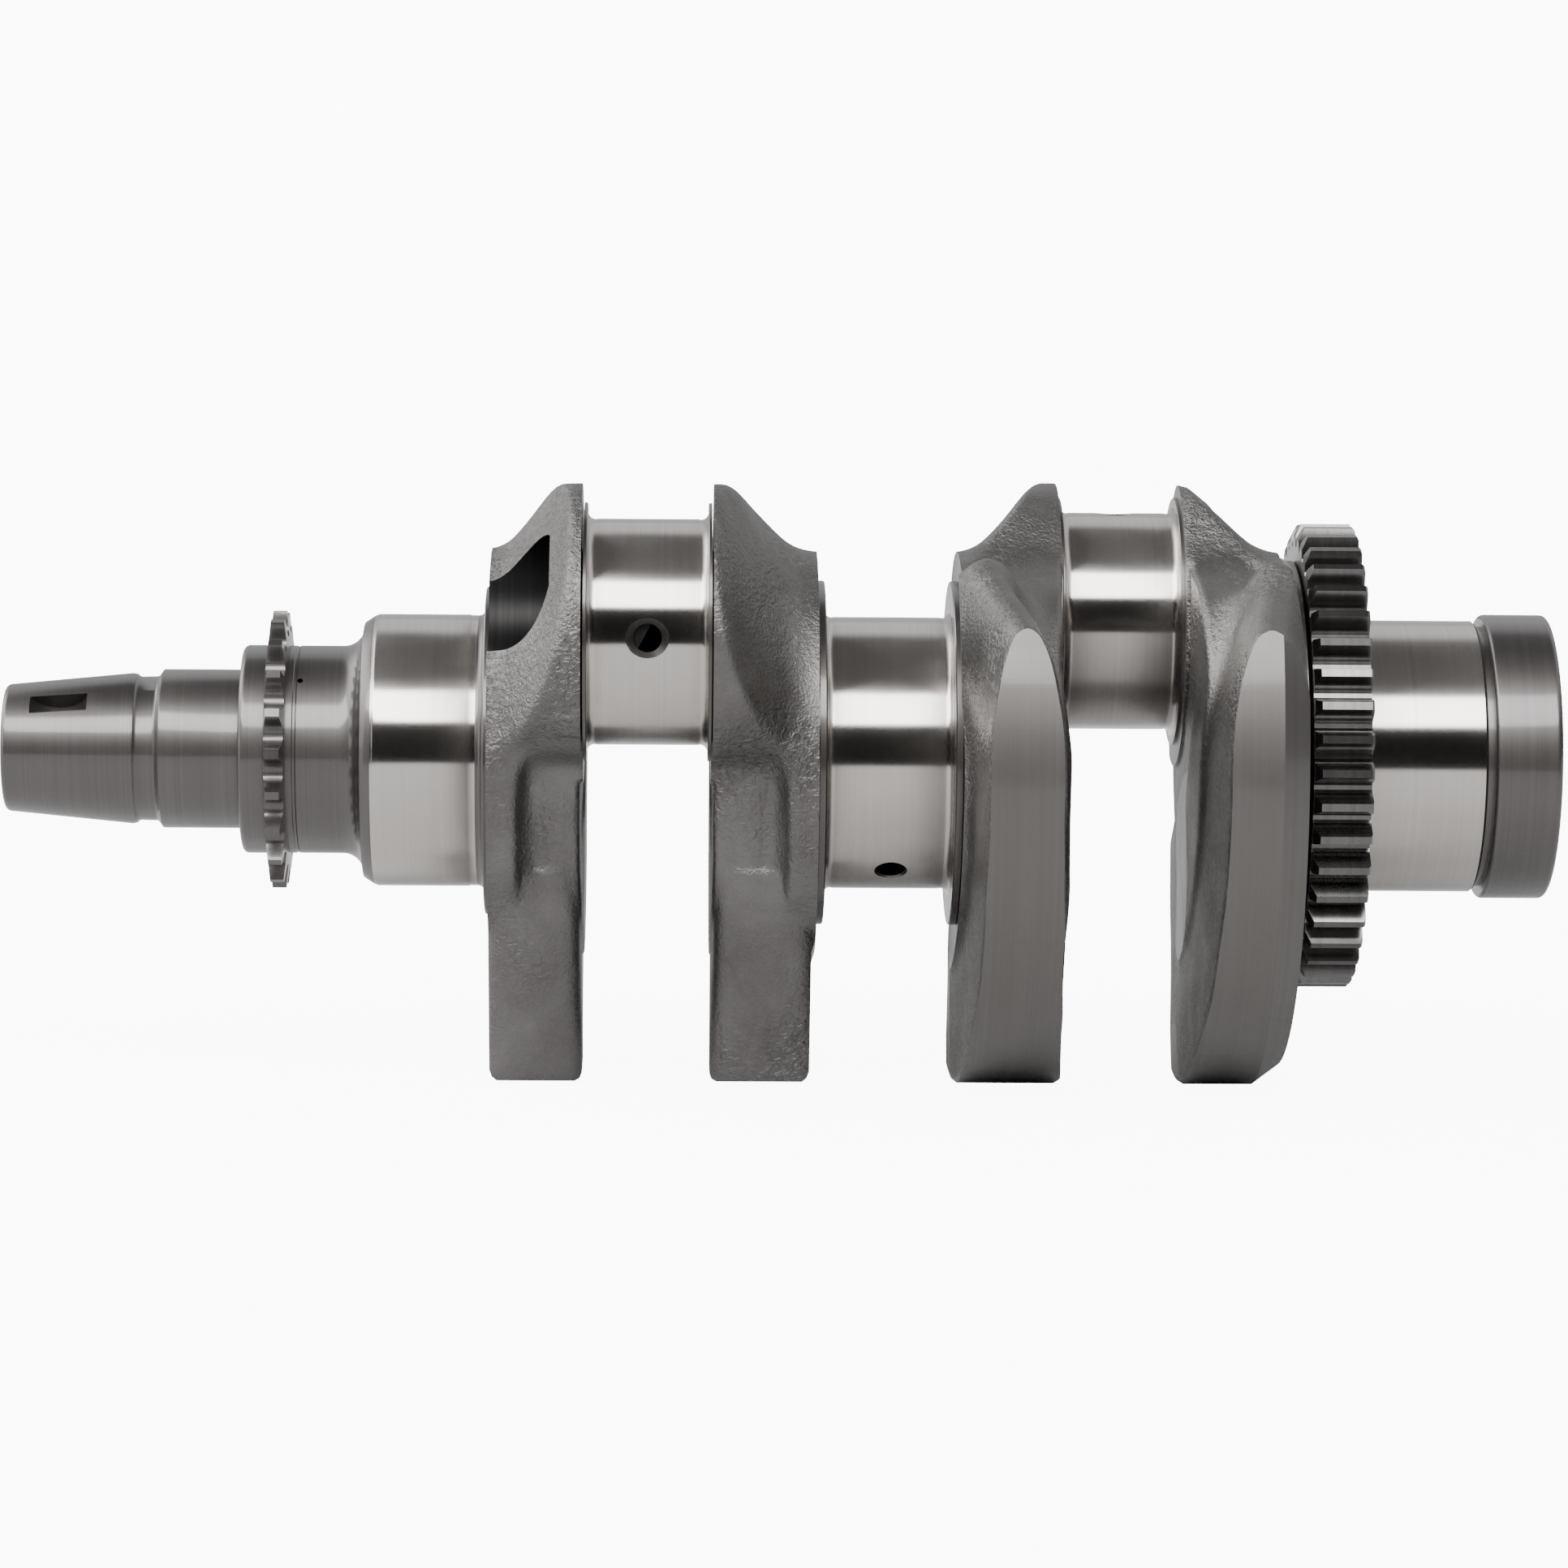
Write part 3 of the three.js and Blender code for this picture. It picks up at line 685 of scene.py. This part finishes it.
VOXEL = 0.6  # the grid that the forgings are shaped on
HUB_RADIUS = 41.4
CORE_RADIUS = 39.0
LOBE_RADIUS = 29.2
PAD_RADIUS = 31.4
FORGED_RIM_RADIUS = 71.5  # before the rim is turned
WEIGHT_REACH = 62  # how far the top of a counterweight reaches from the shaft axis
WEIGHT_TOP = 30.4  # and how high it is there

# Each web's shape: how far its pin lobe's centre sits above the pin's; the bevelled shoulder,
# by the distance from the pin side where it starts and how hollow it is; how much its edges
# are rounded; and where the ridge of its near flank runs.
WEBS = {
    1: {"lift": 1.1, "start": 5.4, "hollow": 1.60, "edge": 2.0, "ridge": 8},
    2: {"lift": 1.1, "start": 4.0, "hollow": 1.85, "edge": 3.5, "ridge": 11},
    3: {"lift": 0.3, "start": 5.4, "hollow": 1.70, "edge": 3.5, "ridge": 11},
    4: {"lift": 0.3, "start": 1.0, "hollow": 1.55, "edge": 3.5, "ridge": 10},
}


def shoulder_reach(web, rise):
    """How far a web's shoulder reaches from the shaft axis, `rise` from its pin side."""
    start, hollow = WEBS[web]["start"], WEBS[web]["hollow"]
    thickness = abs(WEB_INNER[web] - WEB_OUTER[web])
    part = np.clip((thickness + 0.5 - rise) / (thickness + 0.5 - start), 0, None)
    return HUB_RADIUS + 0.1 + 20 * part ** hollow


def stamp(u, v, centre, size):
    """1 inside a small raised rectangle, fading to 0 round its edge."""
    out = np.maximum(np.abs(u - centre[0]) - size[0] / 2, np.abs(v - centre[1]) - size[1] / 2)
    return 1 - fade(out, -0.4, 0.5)


def slow_waves(x, y, z, seed):
    """Gentle unevenness of a forging, from a few crossing waves."""
    rng = np.random.default_rng(seed)
    total = 0
    for wavelength, height in ((37, 0.07), (23, 0.045), (13, 0.03)):
        for _ in range(3):
            way = rng.normal(size=3)
            way /= np.linalg.norm(way)
            start = rng.uniform(0, 2 * math.pi)
            along = x * way[0] + y * way[1] + z * way[2]
            total = total + height * np.sin(along * 2 * math.pi / wavelength + start)
    return total


def web_field(web, x, y, z):
    """Below zero inside the forging. `rise` is the distance from the pin side, `depth` from the
    other side, and `own` the distance to the counterweight's side of the shaft."""
    outer, inner = WEB_OUTER[web], WEB_INNER[web]
    inward = 1 if inner > outer else -1
    thickness = abs(inner - outer)
    depth = (x - outer) * inward
    rise = thickness - depth
    own = -y * PIN_SIDE[web]
    radius = np.hypot(own, z)
    shape = WEBS[web]
    own_half = fade(own, -8, 12)

    # The plate: a lobe round the crankpin and a core round the shaft, with a flank that tapers
    # down to the end of the counterweight, sunk a little below the lobe over it and the hub
    # beside it. The pin side stands a little below the thrust pad.
    lobe = np.hypot(own + PIN_OFFSET, z - PIN_OFFSET - shape["lift"]) - LOBE_RADIUS
    flank = -0.925 * own - 0.380 * z - 37.3 + 0.016 * (depth - shape["ridge"]) ** 2
    beside = smooth_max(8.2 - depth - 0.05 * z, z - 0.5, 6)  # below zero under the lobe
    sunk = (1.9 * fade(beside, 3.2, -2.6) + 0.8 * bell(beside, 0, 2.8)) * fade(z, -38, -16)
    core = smooth_max(radius - CORE_RADIUS, flank, 5)
    plate = smooth_min(lobe, core, 8) + sunk * fade(own, 2, -8)
    off_pin = np.hypot(own + PIN_OFFSET, z - PIN_OFFSET)
    pin_side = -0.6 + 1.6 * (1 - fade(off_pin, 30.3, 31.3)) - 0.06 * np.clip(own - 6, 0, 60)
    plate = smooth_max(plate, smooth_max(-rise - pin_side, -depth - 2, 0.5), 1.5)
    plate = smooth_max(plate, radius - shoulder_reach(web, rise), shape["edge"])

    hub_width = 6.5 - 2.8 * own_half
    hub = smooth_max(radius - HUB_RADIUS, depth - hub_width, 2.5)
    hub = smooth_max(hub, -depth - 2, 0.5)

    # The counterweight: drafted sides, and an end that narrows to an arch.
    lean = np.abs(own)
    outer_side = -1.6 + 0.072 * lean
    inner_side = thickness + 0.3 - 0.055 * lean
    if web == 4:
        outer_side = outer - span("web_4_counterweight")[1] - 1.5
        inner_side = thickness + 1.2 - 0.00098 * lean ** 2
    top = (z - WEIGHT_TOP) * 0.951 + (own - WEIGHT_REACH) * 0.309
    bend = 0.19 * np.clip(WEIGHT_REACH - own, 0, 30) * fade(z, 0, 25)
    middle = (outer_side + inner_side) / 2 - bend
    half = (inner_side - outer_side) / 2
    below = np.clip(-top, 0, 30) / 30
    arch = np.sqrt(np.clip(1 - (1 - below) ** 2, 0.0004, 1))
    side = (np.abs(depth - middle) - half * arch) * (0.4 + 0.6 * arch)
    weight = smooth_max(side, radius - FORGED_RIM_RADIUS, 4)
    weight = smooth_max(weight, flank + sunk, 4)
    weight = smooth_max(weight, top, 2)
    weight = smooth_max(weight, 20 - own - 2.4 * np.clip(-z, 0, 100), 8)

    total = smooth_min(plate, hub, 4.0 - 2.0 * own_half)
    total = smooth_min(total, weight, 1.0 + 6.0 * own_half)

    # The raised pads, where a forging is marked.
    if web == 1:
        total = total - 0.4 * stamp(rise, z, (2.9, 8.6), (5.4, 4.2)) * (own < 0)
    if web == 4:
        total = total - 0.4 * stamp(rise, z, (3.7, 52.5), (4.7, 7.5)) * (own > -24)
    return total + slow_waves(x, y, z, web)


def forging(web):
    """The web's forged shape as a mesh, from its field on a grid."""
    outer, inner = WEB_OUTER[web], WEB_INNER[web]
    margin = 4 * VOXEL
    reach = RIM_RADIUS + 3.5
    xs = np.arange(min(outer, inner) - 3 - margin, max(outer, inner) + 3 + margin, VOXEL)
    ys = np.arange(-reach - margin, reach + margin, VOXEL)
    x, y, z = np.meshgrid(xs, ys, ys, indexing="ij")
    field = web_field(web, x, y, z).astype(np.float32)
    grid = openvdb.FloatGrid(background=3.0)
    grid.copyFromArray(np.clip(field, -3, 3))
    points, quads = grid.convertToQuads(isovalue=0.0)[:2]
    vertices = points * VOXEL + np.array([xs[0], ys[0], ys[0]])
    piece = make_piece(f"web_{web}_forged", vertices, [tuple(map(int, q)) for q in quads], FORGED)
    outward(piece)
    return piece


def machined_envelope(web):
    """What a lathe leaves of a web: its rim, its flat faces and the gear-side bevel of web 4."""
    hub_face, pin_face = WEB_OUTER[web], WEB_INNER[web]
    ends = span(f"web_{web}_counterweight")
    inward = 1 if pin_face > hub_face else -1
    weight_face = ends[0] if inward > 0 else ends[1]
    pin_side = ends[1] if inward > 0 else ends[0]
    if web == 4:
        pin_face = pin_side
        hub_edge = [(weight_face, RIM_RADIUS - 4.0), (weight_face - 5.4, RIM_RADIUS)]
    else:
        hub_edge = [(weight_face, RIM_RADIUS - 2.2), (weight_face + inward * 0.5, RIM_RADIUS - 0.8),
                    (weight_face + inward * 1.5, RIM_RADIUS)]
    profile = [(hub_face, 0.01), (hub_face, 42.2), (weight_face, 45.0), *hub_edge,
               (pin_side - inward * 1.4, RIM_RADIUS), (pin_side - inward * 0.4, RIM_RADIUS - 0.6),
               (pin_side, RIM_RADIUS - 1.6), (pin_side, 42.6), (pin_face, 42.2), (pin_face, 0.01)]
    return revolve("envelope", profile, sides=384)


def face_pin_pad(piece, web):
    """Faces the thrust pad round the crankpin."""
    inner = WEB_INNER[web]
    outward_sign = 1 if inner > WEB_OUTER[web] else -1
    y, z = PIN_SIDE[web] * PIN_OFFSET, PIN_OFFSET
    far_end = (inner + outward_sign * 4, y, z)
    cut(piece, drill("facing", (inner, y, z), far_end, PAD_RADIUS, sides=192), RIM)


def ring_solid(name, loop, sides=192):
    """A turned ring with a hole through it, from a closed loop of (x, radius) pairs."""
    turn = np.linspace(0, 2 * math.pi, sides, endpoint=False)
    vertices = [(x, r * math.cos(a), r * math.sin(a)) for x, r in loop for a in turn]
    count = len(loop)
    faces = []
    for k in range(count):
        m = (k + 1) % count
        for j in range(sides):
            n = (j + 1) % sides
            faces.append((k * sides + j, m * sides + j, m * sides + n, k * sides + n))
    piece = make_piece(name, vertices, faces)
    outward(piece)
    return piece


POCKET = {"radius": 11.9, "depth": 12.7, "from_axis": 47.8, "lift": 0.8}


def build_web(web):
    """A web, forged, then turned and faced. Web 1 has a pocket drilled in its lobe for balance."""
    piece = forging(web)
    keep_inside(piece, machined_envelope(web), RIM)
    face_pin_pad(piece, web)
    if web == 1:
        y, z = polar(FIRST_PIN_ANGLE, POCKET["from_axis"])
        z += POCKET["lift"]
        start = (WEB_OUTER[1] - 5, y, z)
        end = (WEB_OUTER[1] + POCKET["depth"], y, z)
        # The pocket's inside gets the near-black painted shade of the holes.
        cut(piece, drill("pocket", start, end, POCKET["radius"], sides=128), HOLE_PAINTED_SHADE)
    finish_piece(piece, "forged_steel", f"web_{web}_cheek", f"web_{web}_counterweight")


# ------------------------------------------------------------------ gear and rear end


GEAR = {"teeth": 44, "module": 2.11, "pressure": 20.0, "bore": 31.3}
GEAR_DISH = {"inner": 34.0, "outer": 41.0, "depth": 0.8}


def gear_outline(teeth, module, pressure):
    """Involute teeth, with a tooth at -Y, and the radius of their tips."""
    pitch_radius = module * teeth / 2
    base_radius = pitch_radius * math.cos(math.radians(pressure))
    tip_radius = pitch_radius + module
    root_radius = pitch_radius - 1.25 * module

    def involute(radius):
        roll = math.sqrt(max((radius / base_radius) ** 2 - 1, 0))
        return roll - math.acos(min(base_radius / radius, 1))

    half_tooth = math.pi / 2 / teeth + involute(pitch_radius)
    start = max(base_radius, root_radius + 0.5)
    radii = [start + (tip_radius - start) * k / 5 for k in range(6)]
    flank = [(half_tooth - involute(r), r) for r in radii]
    root_turn = half_tooth - involute(start) + 0.012
    left = [(-root_turn, root_radius)] + [(-turn, r) for turn, r in flank]
    right = [(turn, r) for turn, r in reversed(flank)] + [(root_turn, root_radius)]
    outline = []
    for k in range(teeth):
        middle = math.pi + 2 * math.pi * k / teeth
        for turn, r in left + right:
            outline.append((r * math.cos(middle + turn), r * math.sin(middle + turn)))
    return outline, tip_radius


def drive_gear():
    """The gear, with bevelled ends, its bore, and a shallow dish in its rear face."""
    x0, x1 = span("balancer_drive_gear")
    outline, tip = gear_outline(GEAR["teeth"], GEAR["module"], GEAR["pressure"])
    bore, over_tips, bevel = GEAR["bore"], tip + 1, 0.45
    piece = prism("balancer_drive_gear_cut", outline, x0, x1, GEAR_STEEL)
    ends = [(x0, bore), (x0, tip - 2.4), (x0 + 1.2, tip), (x0 + 1.2, over_tips),
            (x1 - bevel, over_tips), (x1 - bevel, tip), (x1, tip - 0.6), (x1, bore)]
    keep_inside(piece, revolve("ends", ends, sides=352), TURNED)
    cut(piece, revolve("bore", [(x0 - 1, bore), (x1 + 1, bore)]), TURNED)
    floor_x, inner, outer = x1 - GEAR_DISH["depth"], GEAR_DISH["inner"], GEAR_DISH["outer"]
    dish = [(floor_x, inner), (x1 + 1, inner), (x1 + 1, outer), (floor_x, outer)]
    cut(piece, ring_solid("dish", dish), GEAR_STEEL)
    finish_piece(piece, "gear_steel", "balancer_drive_gear")


def gear_seat():
    x0, x1 = span("gear_seat")
    radius, edge = 31.0, 0.5
    seat = [(x0, radius), (x1 - edge, radius), (x1, radius - edge)]
    piece = revolve("gear_seat_ground", seat, TURNED)
    finish_piece(piece, "turned_steel", "gear_seat")


def gear_shoulder():
    x0, x1 = span("gear_shoulder")
    radius = node_radius("gear_shoulder")
    step, edge = 0.6, 0.3
    piece = revolve("gear_shoulder_turned", [
        (x0, radius + step),
        (x0 + 0.55, radius + step),
        (x0 + 0.7, radius),
        (x1 - edge, radius),
        (x1, radius - edge),
    ], TURNED)
    finish_piece(piece, "turned_steel", "gear_shoulder")


FLANGE_BOLTS = {"count": 6, "circle": 20, "radius": 4.0, "depth": 12, "sink": 5.7, "sink_depth": 0.7}
FLANGE_RECESS = {"radius": 12.5, "depth": 4, "edge": 1.5, "edge_depth": 0.5}


def bore_flange(piece, name, y, z, depth, radius, end_radius=None, sides=48):
    """Cuts a round hole into the flange's rear face."""
    face = span("rear_flange")[1]
    tool = drill(name, (face + 1, y, z), (face - depth, y, z), radius, end_radius, sides)
    # Bolt holes get the near-black painted shade of the holes. The recess and the countersinks stay
    # turned steel.
    cut(piece, tool, HOLE_PAINTED_SHADE if name == "bolt_hole" else TURNED)


def rear_flange():
    """The flange, with a recess in its middle and a ring of countersunk bolt holes."""
    x0, x1 = span("rear_flange")
    radius = node_radius("rear_flange")
    piece = revolve("rear_flange_turned", [
        (x0, radius - 1.0),
        *arc(x0 + 0.9, radius - 0.9, 0.9, 180, 90, 5),
        (x1 - 1.4, radius),
        *arc(x1 - 1.2, radius - 1.2, 1.2, 90, 0, 5),
    ], TURNED)
    recess, bolts = FLANGE_RECESS, FLANGE_BOLTS
    wide = recess["radius"] + recess["edge"]
    bore_flange(piece, "recess", 0, 0, recess["depth"], recess["radius"], sides=128)
    bore_flange(piece, "recess_edge", 0, 0, recess["edge_depth"], wide, recess["radius"], sides=128)
    for k in range(bolts["count"]):
        y, z = polar(90 + 360 // bolts["count"] * k, bolts["circle"])
        bore_flange(piece, "bolt_hole", y, z, bolts["depth"], bolts["radius"])
        bore_flange(piece, "sink", y, z, bolts["sink_depth"], bolts["sink"], bolts["radius"])
    finish_piece(piece, "turned_steel", "rear_flange")


# ------------------------------------------------------------------ the crankshaft

nose_taper()
nose_seal_journal()
sprocket_shoulder()
timing_sprocket()
front_neck()
front_main_journal()
thrust_collar("front_thrust_collar")
crankpin(1, 1)
thrust_collar("centre_collar_front")
centre_main_journal()
thrust_collar("centre_collar_rear")
crankpin(2, 3)
for number in (1, 2, 3, 4):
    build_web(number)
gear_shoulder()
gear_seat()
drive_gear()
rear_main_journal()
rear_flange()


# ------------------------------------------------------------------ floor, light and camera


def plain_floor():
    """A pale floor, which the camera sees as white and the steel as a plain matt floor."""
    bpy.ops.mesh.primitive_plane_add(size=400)
    floor = bpy.context.object
    floor.name = "floor"
    n = Nodes("pale_floor")
    speck = n.noise(60, 3, 0.5)
    white_level = 9.6
    n.set(Base_Color=n.ramp(speck, (0.3, 0.48), (0.7, 0.51)), Roughness=0.9)
    n.set(Emission_Color=(1.0, 1.0, 1.0), Emission_Strength=n.multiply(n.camera_ray(), white_level))
    floor.data.materials.append(n.material)


def dark_surround():
    """A matt black flag in front of the table, which only the steel's own reflections see."""
    radius, height, posts = 0.62, 0.385, 66
    turns = np.radians(np.linspace(-155, -25, posts))
    rows = [[(radius * math.cos(t), radius * math.sin(t), z) for t in turns] for z in (0.0, height)]
    faces = [(k, k + 1, k + 1 + posts, k + posts) for k in range(posts - 1)]
    mesh = bpy.data.meshes.new("black_flags")
    mesh.from_pydata(rows[0] + rows[1], [], faces)
    flag = bpy.data.objects.new("black_flags", mesh)
    bpy.context.collection.objects.link(flag)
    n = Nodes("black_flag")
    weave = n.ramp(n.noise(200, 2, 0.5), (0.3, 0.012), (0.7, 0.016))
    mesh.materials.append(n.set(Base_Color=weave, Roughness=1.0, Specular_IOR_Level=0.0))
    flag.visible_camera = False
    flag.visible_diffuse = False
    flag.visible_shadow = False
    flag.visible_transmission = False


def studio_world():
    """A wide softbox above the camera, weaker ones behind, on the left and on both sides, and
    dim fill. The camera itself sees plain white."""
    world = bpy.data.worlds.new("studio")
    bpy.context.scene.world = world
    world.use_nodes = True
    tree = world.node_tree
    tree.nodes.clear()

    def node(kind, **inputs):
        """Adds a node; _0, _1 and so on are its inputs in order, each a value or a socket."""
        made = tree.nodes.new(kind)
        for key, value in inputs.items():
            socket = made.inputs[int(key[1:])]
            if isinstance(value, bpy.types.NodeSocket):
                tree.links.new(value, socket)
            else:
                socket.default_value = value
        return made

    def maths(operation, first, second=0.0, third=0.0):
        made = node("ShaderNodeMath", _0=first, _1=second, _2=third)
        made.operation = operation
        return made.outputs[0]

    def step(value, start, end):
        """From 0 at start to 1 at end, smoothly."""
        made = node("ShaderNodeMapRange", _0=value, _1=start, _2=end, _3=0.0, _4=1.0)
        made.interpolation_type = "SMOOTHSTEP"
        return made.outputs[0]

    # Where a direction points: `height` is up, and `front` is towards the key light, which is
    # turned a little to the left of the camera, whatever the height.
    split = node("ShaderNodeSeparateXYZ", _0=node("ShaderNodeTexCoord").outputs["Generated"])
    across, deep, height = (split.outputs[axis] for axis in "XYZ")
    level_squared = maths("SUBTRACT", 1.0, maths("MULTIPLY", height, height))
    level = maths("SQRT", maths("MAXIMUM", level_squared, 0.0001))
    ahead = maths("MULTIPLY_ADD", deep, -0.95, maths("MULTIPLY", across, -0.31))
    front = maths("DIVIDE", ahead, level)

    # The softboxes, each a patch of directions times its brightness.
    band = maths("MULTIPLY", step(height, 0.45, 0.475), step(height, 0.84, 0.79))
    key = maths("MULTIPLY", maths("MULTIPLY", band, step(front, 0.55, 0.80)), 9.8)
    back_band = maths("MULTIPLY", step(height, 0.25, 0.40), step(height, 0.90, 0.75))
    above = maths("MULTIPLY", step(height, -0.02, 0.08), step(height, 0.90, 0.75))
    back = maths("MULTIPLY", maths("MULTIPLY", above, step(front, -0.2, -0.6)), 0.6)
    left = maths("MULTIPLY", maths("MULTIPLY", above, step(across, -0.45, -0.8)), 2.0)
    from_left = maths("MULTIPLY_ADD", across, -1.3, 1.7)
    beside = maths("MULTIPLY", back_band, step(maths("ABSOLUTE", front), 0.75, 0.3))
    sides = maths("MULTIPLY", beside, from_left)
    overhead = maths("MULTIPLY_ADD", step(height, 0.78, 0.90), -0.19, 0.28)
    fill = maths("MULTIPLY_ADD", step(height, 0.40, 0.55), overhead, 0.03)
    light = maths("ADD", maths("ADD", key, maths("ADD", back, left)), maths("ADD", sides, fill))
    studio = node("ShaderNodeBackground", _1=light)
    white = node("ShaderNodeBackground", _1=11.0)
    white.inputs["Color"].default_value = (1, 1, 1, 1)
    studio.inputs["Color"].default_value = (1, 1, 1, 1)
    path = node("ShaderNodeLightPath")
    choose = node("ShaderNodeMixShader", _0=path.outputs["Is Camera Ray"],
                  _1=studio.outputs[0], _2=white.outputs[0])
    output = node("ShaderNodeOutputWorld")
    tree.links.new(choose.outputs[0], output.inputs["Surface"])


def photo_camera():
    """A long lens, level with the shaft but for a few degrees."""
    distance, elevation, roll = 1.207, math.radians(4.4), math.radians(0.44)
    eye_x, target_x, target_drop = -0.0224, 0.0016, 0.0067
    half_view = 0.1642  # half the width that the camera sees at the shaft
    axis = AXIS_HEIGHT * MM
    eye = Vector((eye_x, -distance * math.cos(elevation), axis + distance * math.sin(elevation)))
    target = Vector((target_x, 0, axis - target_drop))
    camera = bpy.data.cameras.new("camera")
    camera.sensor_width = 36
    camera.angle = 2 * math.atan(half_view / distance)
    camera.clip_start = 0.05
    holder = bpy.data.objects.new("camera", camera)
    holder.location = eye
    turn = (target - eye).to_track_quat("-Z", "Y").to_matrix() @ Euler((0, 0, roll)).to_matrix()
    holder.rotation_euler = turn.to_euler()
    bpy.context.scene.collection.objects.link(holder)
    bpy.context.scene.camera = holder


plain_floor()
dark_surround()
studio_world()
photo_camera()
